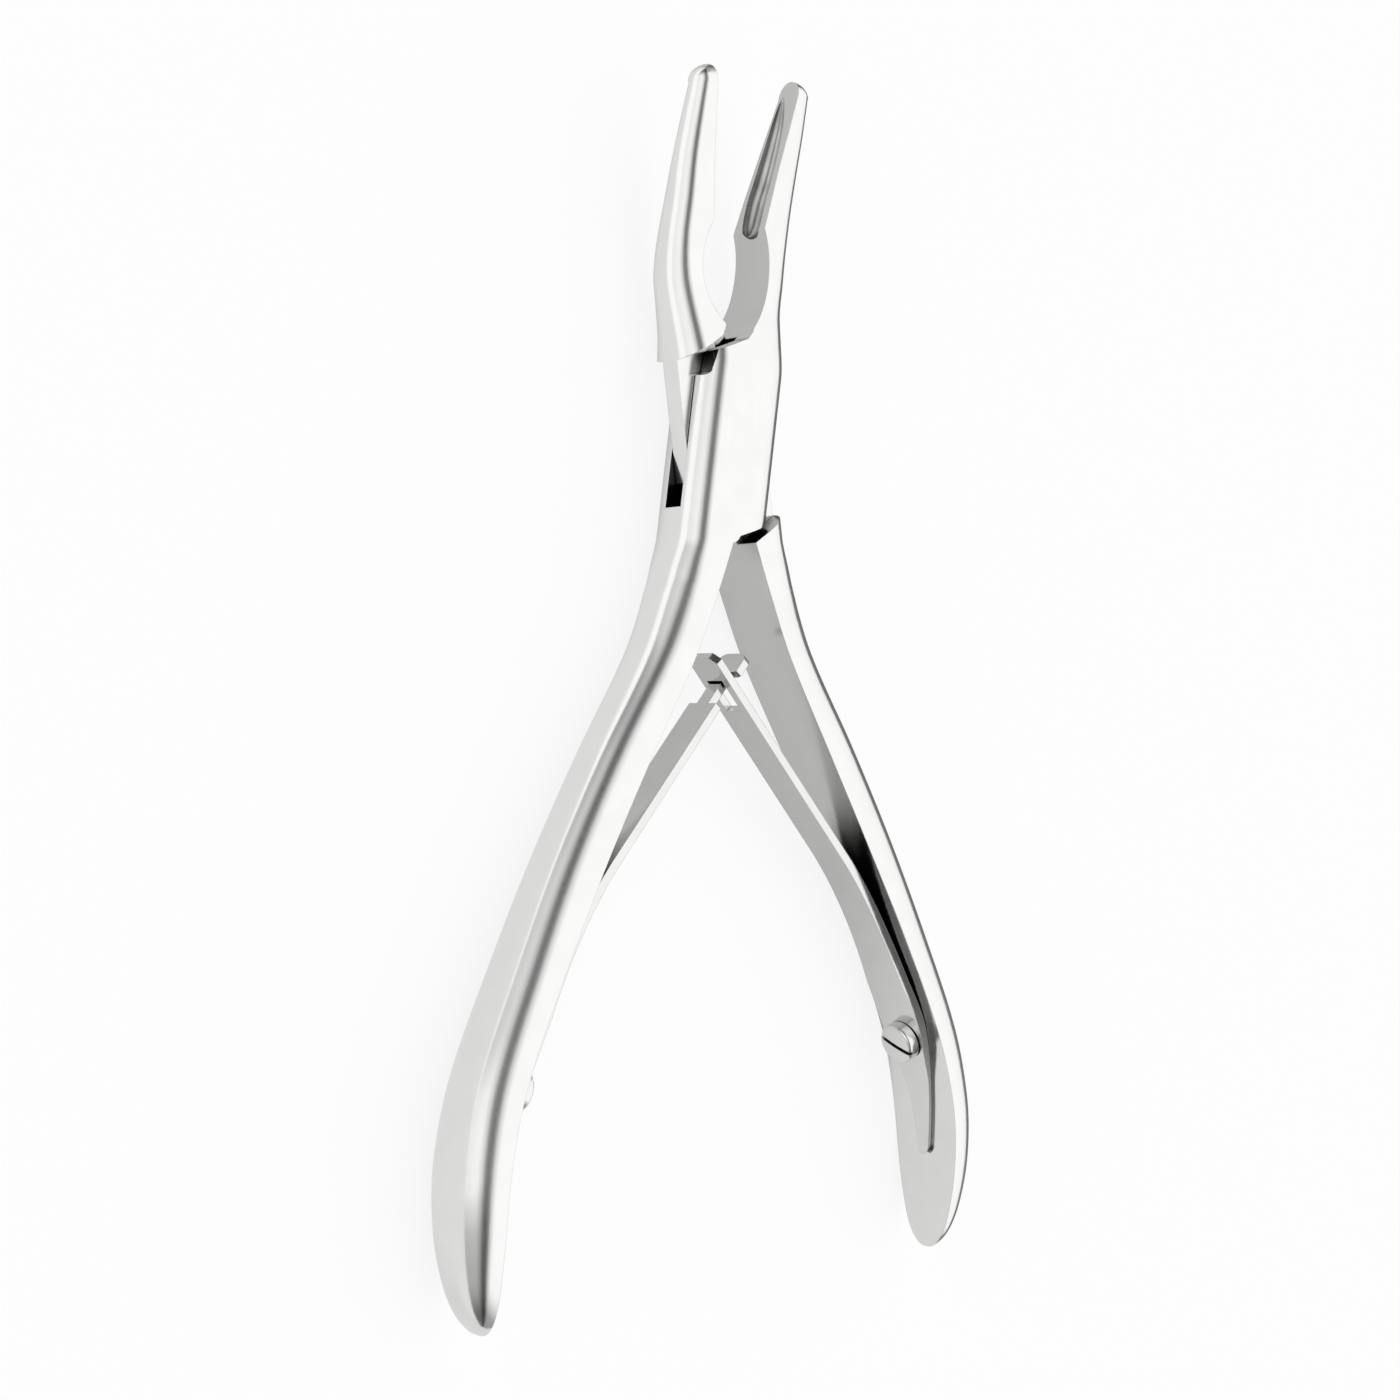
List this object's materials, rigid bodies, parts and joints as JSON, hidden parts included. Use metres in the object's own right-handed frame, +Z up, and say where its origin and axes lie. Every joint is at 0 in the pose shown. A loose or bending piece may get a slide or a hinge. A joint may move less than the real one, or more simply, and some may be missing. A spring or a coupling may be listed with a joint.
{
  "type": "bone rongeur",
  "caption": "Double-spring bone rongeur with a box-lock joint, cupped jaws bent to the front and bowed flat-sided handles.",
  "frame": {"origin": "Centre of the tool's outline at rest in X and Y, on the plane its grips lie on. It lies on its back with the jaws sprung open.", "axes": "+X to the right seen from the front, +Y from the handles' ends towards the jaws, +Z up out of the front, the side that the jaws are bent to."},
  "size_m": [0.0742, 0.1372, 0.0121],
  "materials": {
    "steel": "satin",
    "spring_steel": "satin"
  },
  "bodies": {
    "box_side": {"box_half": "steel", "pivot_pin": "steel", "left_spring_screw": "steel"},
    "insert_side": {"insert_half": "steel", "right_spring_screw": "steel"},
    "tongue_blade": {"tongue_spring": "spring_steel"},
    "slotted_blade": {"slotted_spring": "spring_steel"}
  },
  "joints": [
    {"name": "jaw_pivot", "type": "hinge", "parent": "box_side", "child": "insert_side", "pos_m": [0, 0.02644, 0.00525], "axis": [0, 0, -1], "range_deg": [0, 16.6], "stiffness_Nm_per_rad": 2, "springref_deg": -0.57},
    {"name": "tongue_flex", "type": "hinge", "parent": "box_side", "child": "tongue_blade", "pos_m": [-0.01725, -0.02002, 0.00525], "axis": [0, 0, 1], "range_deg": [0, 9.4], "deforming": ["tongue_spring"]},
    {"name": "slotted_flex", "type": "hinge", "parent": "insert_side", "child": "slotted_blade", "pos_m": [0.01725, -0.02002, 0.00525], "axis": [0, 0, -1], "range_deg": [0, 9.4], "deforming": ["slotted_spring"]}
  ],
  "couplings": [
    {"joint": "tongue_flex", "follows": "jaw_pivot", "ratio": 0.558},
    {"joint": "slotted_flex", "follows": "jaw_pivot", "ratio": 0.558}
  ]
}
